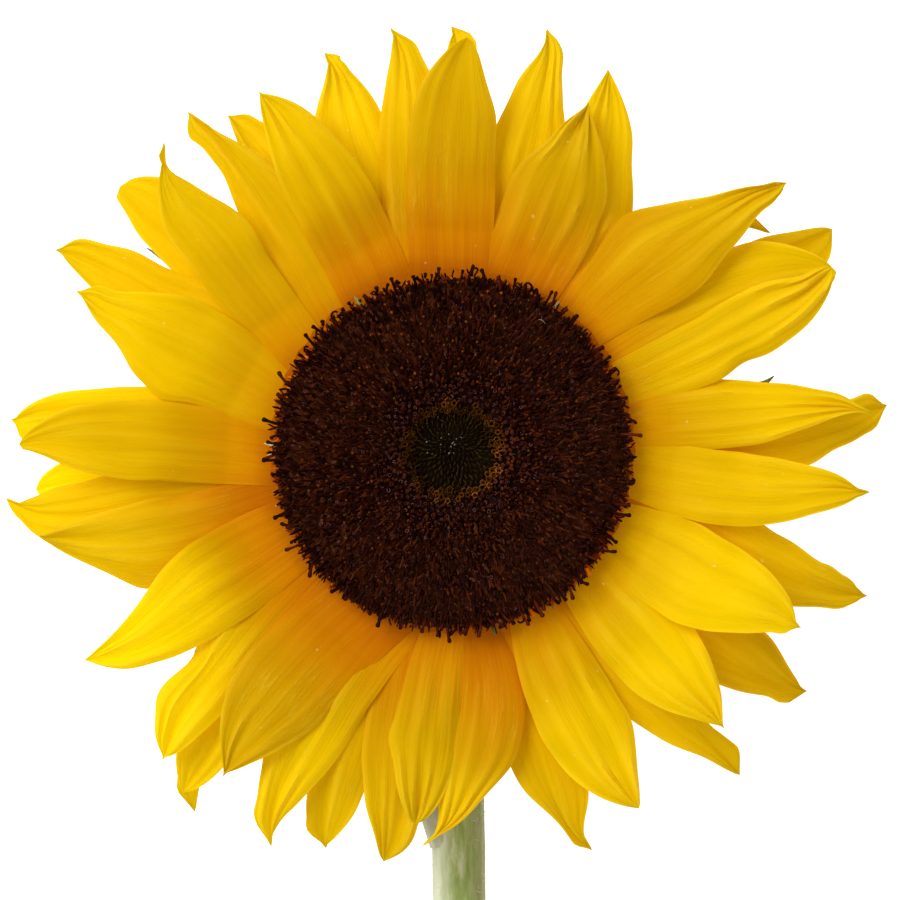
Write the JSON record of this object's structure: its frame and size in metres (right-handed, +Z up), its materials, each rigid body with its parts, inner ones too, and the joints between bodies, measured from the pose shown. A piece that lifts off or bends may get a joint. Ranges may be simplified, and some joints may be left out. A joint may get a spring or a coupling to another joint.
{
  "type": "cut sunflower",
  "caption": "Cut sunflower lying on its back, with yellow ray petals, a dark brown disc of florets, green bracts and a bare stem cut off at its foot.",
  "frame": {"origin": "centre of the bounding box, on the surface that the flower lies on", "axes": "+Z up, out of the flower's face; +Y from the cut end of the stem towards the head; +X to the right as seen from above"},
  "size_m": [0.1594, 0.325, 0.0436],
  "materials": {
    "stem": "pale green, ribbed and covered in fine white hairs",
    "leaf": "matt green leaf with a net of veins and short hairs",
    "bracts": "matt green with lengthwise veins and hairy edges",
    "petals": "satin yellow, amber towards the root, with fine lengthwise folds",
    "florets": "dark brown open florets with red brown glints",
    "buds": "dark green buds with olive tips"
  },
  "bodies": {
    "root": {"stem": "stem", "leaf": "leaf", "bracts": "bracts", "ray_petals": "petals", "disc_florets": "florets", "disc_buds": "buds"}
  },
  "joints": []
}
